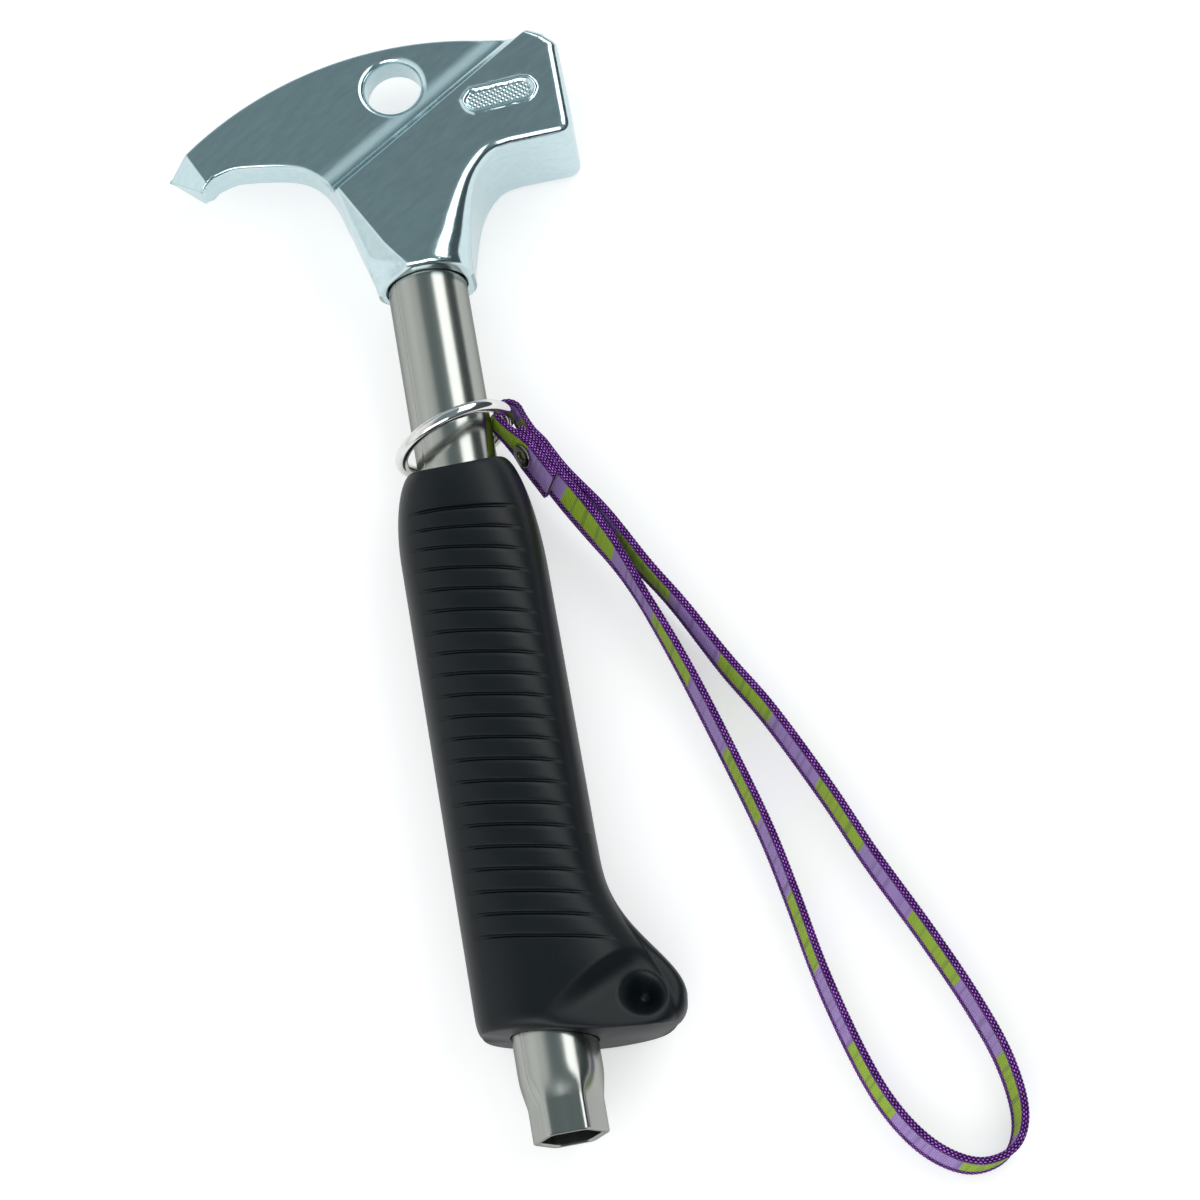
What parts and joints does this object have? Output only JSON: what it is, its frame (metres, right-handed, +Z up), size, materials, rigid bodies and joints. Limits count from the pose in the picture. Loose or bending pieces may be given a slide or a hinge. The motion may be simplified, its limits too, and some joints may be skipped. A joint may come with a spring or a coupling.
{
  "type": "piton hammer",
  "caption": "Climber's hammer with a forged head and pick, tube handle ending in a box socket, ribbed rubber grip, and a webbing wrist loop on a sliding ring.",
  "frame": {"origin": "middle of the bounding box of the hammer and ring, on the surface that it lies on", "axes": "+X towards the striking face, +Y up the handle to the head, +Z up off the surface"},
  "size_m": [0.1654, 0.3099, 0.0323],
  "materials": {
    "plated_steel": "bright zinc plate on a forging",
    "stainless_steel": "drawn tube, brushed",
    "black_rubber": "matte moulded",
    "polished_nickel": "polished wire",
    "purple_webbing": "woven, with lilac and lime blocks on its face",
    "dark_nickel": "dark plated"
  },
  "bodies": {
    "hammer": {"head": "plated_steel", "handle_tube": "stainless_steel", "grip": "black_rubber"},
    "ring": {"ring": "polished_nickel"},
    "strap": {"strap": "purple_webbing", "rivet": "dark_nickel", "rivet_washer": "dark_nickel"}
  },
  "joints": [
    {"name": "ring_slide", "type": "slide", "parent": "hammer", "child": "ring", "axis": [0, 1, 0], "range_m": [0, 0.032]},
    {"name": "strap_swing", "type": "hinge", "parent": "ring", "child": "strap", "pos_m": [0.02311, 0.0369, 0.0163], "axis": [0, 0, 1], "range_deg": [-9, 54]}
  ]
}
